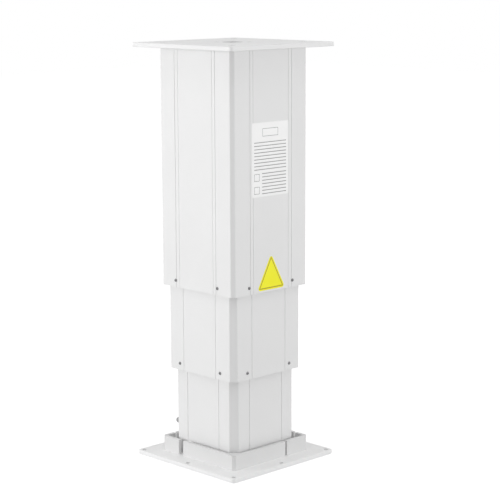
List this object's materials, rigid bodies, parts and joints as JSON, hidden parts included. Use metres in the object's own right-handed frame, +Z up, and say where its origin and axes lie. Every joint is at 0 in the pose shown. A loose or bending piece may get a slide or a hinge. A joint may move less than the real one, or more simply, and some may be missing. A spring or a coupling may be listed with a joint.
{
  "type": "telescopic lifting column",
  "caption": "Electric three-stage lifting column with square telescoping tubes between a bolted base plate and a bolted top plate.",
  "frame": {"origin": "centre of the base plate's underside", "axes": "+Z up along the lifting direction, -Y out of the front face, +Y out of the rear face with the cable gland"},
  "size_m": [0.2, 0.2, 0.59],
  "materials": {
    "white_tube": "satin",
    "white_plate": "satin",
    "cast_alloy": "satin",
    "steel": "satin",
    "black_steel": "satin",
    "dark_steel": "satin",
    "bearing_steel": "polished",
    "bronze": "satin",
    "acetal": "matte",
    "black_plastic": "matte",
    "grey_plastic": "matte"
  },
  "bodies": {
    "foot": {"base_plate": "white_plate", "collar_front_angle": "white_tube", "collar_rear_angle": "white_tube", "collar_left_angle": "white_tube", "collar_right_angle": "white_tube", "collar_screws": "steel", "inner_tube": "white_tube", "inner_tube_screws": "steel", "inner_top_glides": "acetal", "gearbox_housing": "cast_alloy", "gearbox_lid": "cast_alloy", "gearbox_screws": "steel", "spindle_bearings": "bearing_steel", "motor": "black_steel", "motor_cap": "black_plastic", "cable_gland": "grey_plastic", "gland_nut": "grey_plastic"},
    "drive_spindle": {"drive_spindle": "steel", "spindle_gear": "steel"},
    "pinion": {"drive_pinion": "steel"},
    "middle_stage": {"middle_tube": "white_tube", "middle_bottom_glides": "acetal", "middle_glide_screws": "dark_steel", "middle_top_glides": "acetal", "bridge_plate": "cast_alloy", "bridge_screws": "steel", "middle_lift_tube": "steel", "middle_flange_screws": "steel", "lower_spindle_nut": "bronze", "hollow_spindle_bearing": "bearing_steel"},
    "hollow_spindle": {"hollow_spindle": "steel", "drive_key": "steel"},
    "outer_stage": {"outer_tube": "white_tube", "outer_bottom_glides": "acetal", "outer_glide_screws": "dark_steel", "top_plate": "white_plate", "top_plate_screws": "steel", "outer_lift_tube": "steel", "outer_flange_screws": "steel", "upper_spindle_nut": "bronze"}
  },
  "joints": [
    {"name": "middle_slide", "type": "slide", "parent": "foot", "child": "middle_stage", "axis": [0, 0, 1], "range_m": [-0.07, 0.13]},
    {"name": "outer_slide", "type": "slide", "parent": "middle_stage", "child": "outer_stage", "axis": [0, 0, 1], "range_m": [-0.07, 0.13]},
    {"name": "spindle_turn", "type": "hinge", "parent": "foot", "child": "drive_spindle", "pos_m": [0, 0, 0.02], "axis": [0, 0, 1], "range_deg": [-4681, 2521]},
    {"name": "hollow_spindle_turn", "type": "hinge", "parent": "middle_stage", "child": "hollow_spindle", "pos_m": [0, 0, 0.145], "axis": [0, 0, 1], "range_deg": [-4681, 2521]},
    {"name": "pinion_turn", "type": "hinge", "parent": "foot", "child": "pinion", "pos_m": [0.03394, 0.03394, 0.02], "axis": [0, 0, 1], "range_deg": [-9001, 16715]}
  ],
  "couplings": [
    {"joint": "outer_slide", "follows": "middle_slide", "ratio": 1},
    {"joint": "spindle_turn", "follows": "middle_slide", "rad_per_m": -628.32},
    {"joint": "hollow_spindle_turn", "follows": "middle_slide", "rad_per_m": -628.32},
    {"joint": "pinion_turn", "follows": "middle_slide", "rad_per_m": 2244}
  ]
}
